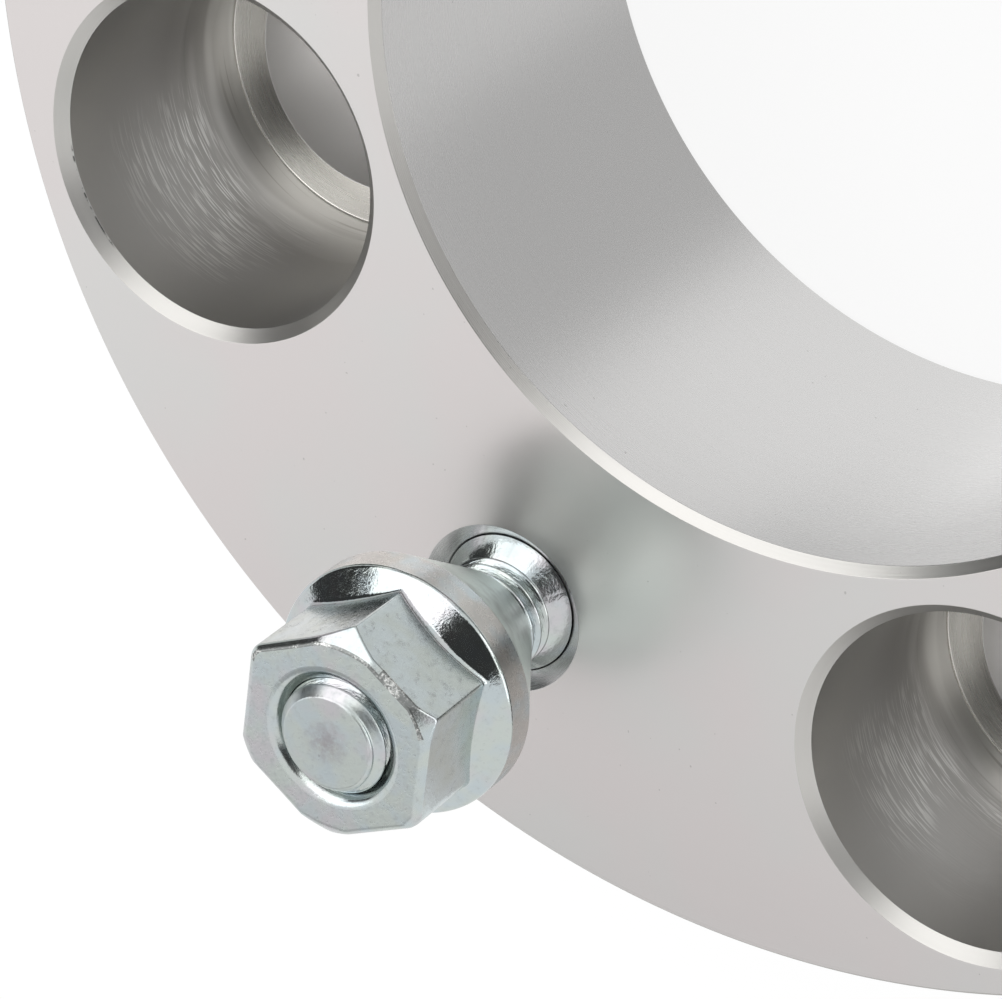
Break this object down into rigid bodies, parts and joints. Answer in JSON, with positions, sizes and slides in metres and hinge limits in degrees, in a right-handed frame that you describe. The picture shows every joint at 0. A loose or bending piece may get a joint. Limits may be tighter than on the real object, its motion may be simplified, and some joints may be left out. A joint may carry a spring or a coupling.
{
  "type": "wheel spacer",
  "caption": "Thick machined ring that sets a road wheel outwards, with stepped lug holes with conical seats, pressed-in threaded studs and flanged tapered nuts.",
  "frame": {"origin": "centre of the bore on the face that lies on the hub, which is also what the part rests on", "axes": "+Z along the axle, the way the studs point; the lug holes lie on the X and Y axes and the studs at 45 degrees between them"},
  "size_m": [0.152, 0.152, 0.0645],
  "materials": {
    "machined_aluminium": "bare turned aluminium with fine concentric tool marks",
    "stud_zinc": "clear zinc-plated steel with a rolled thread",
    "nut_zinc": "bright zinc-plated steel, worn to bare metal at the edges"
  },
  "bodies": {
    "root": {"spacer_body": "machined_aluminium", "wheel_stud_1": "stud_zinc", "wheel_stud_2": "stud_zinc", "wheel_stud_3": "stud_zinc", "wheel_stud_4": "stud_zinc", "flange_nut_1": "nut_zinc", "flange_nut_2": "nut_zinc", "flange_nut_3": "nut_zinc", "flange_nut_4": "nut_zinc"}
  },
  "joints": []
}
